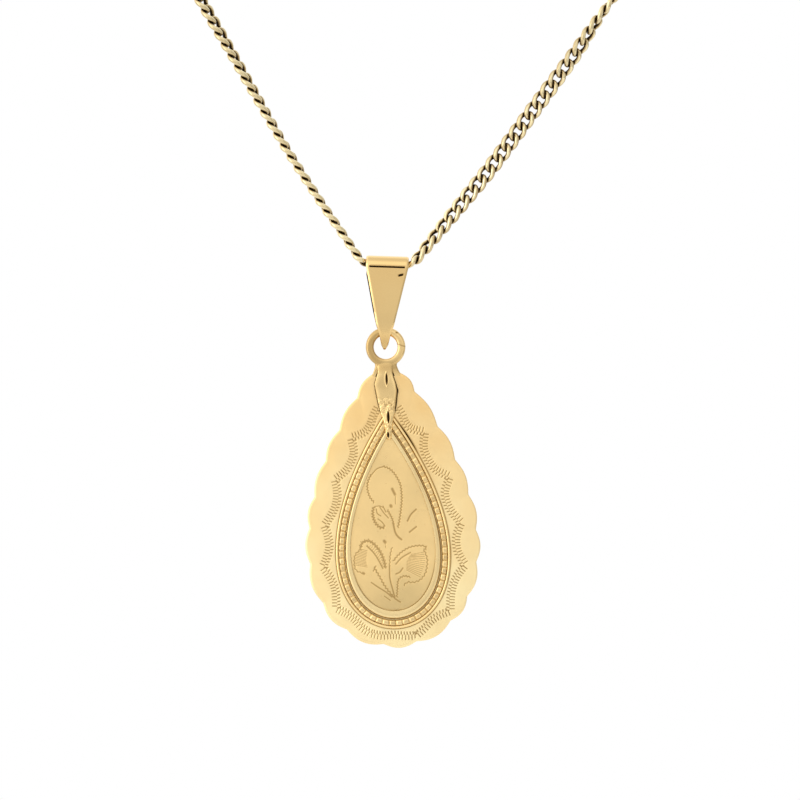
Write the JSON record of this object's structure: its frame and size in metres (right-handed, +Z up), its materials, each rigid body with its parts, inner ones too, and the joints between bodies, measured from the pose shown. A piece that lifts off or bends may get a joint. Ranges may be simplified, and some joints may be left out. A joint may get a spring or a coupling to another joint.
{
  "type": "locket",
  "caption": "Teardrop gold locket with a scalloped front, engraved panel, hinged back lid, folded bail and curb chain with a spring ring clasp.",
  "frame": {"origin": "middle of the chain where it carries the bail", "axes": "+Z up along the hanging locket, the decorated front faces -Y and the lid faces +Y, +X to the right as seen from the front"},
  "size_m": [0.0581, 0.0038, 0.0852],
  "materials": {
    "polished_gold": "mirror polished yellow gold",
    "plate_gold": "soft polished yellow gold",
    "panel_gold": "satin yellow gold with hand engraving",
    "chain_gold": "polished yellow gold curb links",
    "spring_steel": "drawn spring wire",
    "photo_card": "matt ivory card",
    "clear_cover": "clear glossy sheet"
  },
  "bodies": {
    "chain": {"curb_chain": "chain_gold", "clasp_jump_ring": "polished_gold", "clasp_body": "polished_gold", "clasp_spring": "spring_steel", "end_ring": "polished_gold"},
    "clasp_trigger": {"clasp_bolt": "polished_gold"},
    "bail": {"bail": "polished_gold"},
    "locket": {"hanger": "polished_gold", "front_plate": "plate_gold", "border_wire": "plate_gold", "milgrain_strip": "plate_gold", "polished_rim": "polished_gold", "centre_panel": "panel_gold", "case_wall": "polished_gold", "front_photo_card": "photo_card", "front_clear_cover": "clear_cover", "front_photo_frame": "polished_gold", "case_knuckle_upper": "polished_gold", "case_knuckle_lower": "polished_gold", "hinge_pin": "polished_gold"},
    "lid": {"back_lid": "plate_gold", "lid_snap_rim": "polished_gold", "lid_photo_card": "photo_card", "lid_clear_cover": "clear_cover", "lid_photo_frame": "polished_gold", "lid_knuckle": "polished_gold"}
  },
  "joints": [
    {"name": "bail_swing", "type": "hinge", "parent": "chain", "child": "bail", "pos_m": [0, 0, 0], "axis": [1, 0, 0], "range_deg": [-90, 90]},
    {"name": "locket_swing", "type": "hinge", "parent": "bail", "child": "locket", "pos_m": [-0.00027, 0, -0.00784], "axis": [1, 0, 0], "range_deg": [-55, 55]},
    {"name": "lid_hinge", "type": "hinge", "parent": "locket", "child": "lid", "pos_m": [-0.00643, 0.00207, -0.03454], "axis": [-0.0366, 0, 0.9993], "range_deg": [0, 150]},
    {"name": "clasp_trigger_slide", "type": "hinge", "parent": "chain", "child": "clasp_trigger", "pos_m": [-0.02538, 0, 0.03724], "axis": [0, 1, 0], "range_deg": [0, 62], "stiffness_Nm_per_rad": 0.0002, "springref_deg": -28.65, "deforming": ["clasp_spring"]}
  ]
}
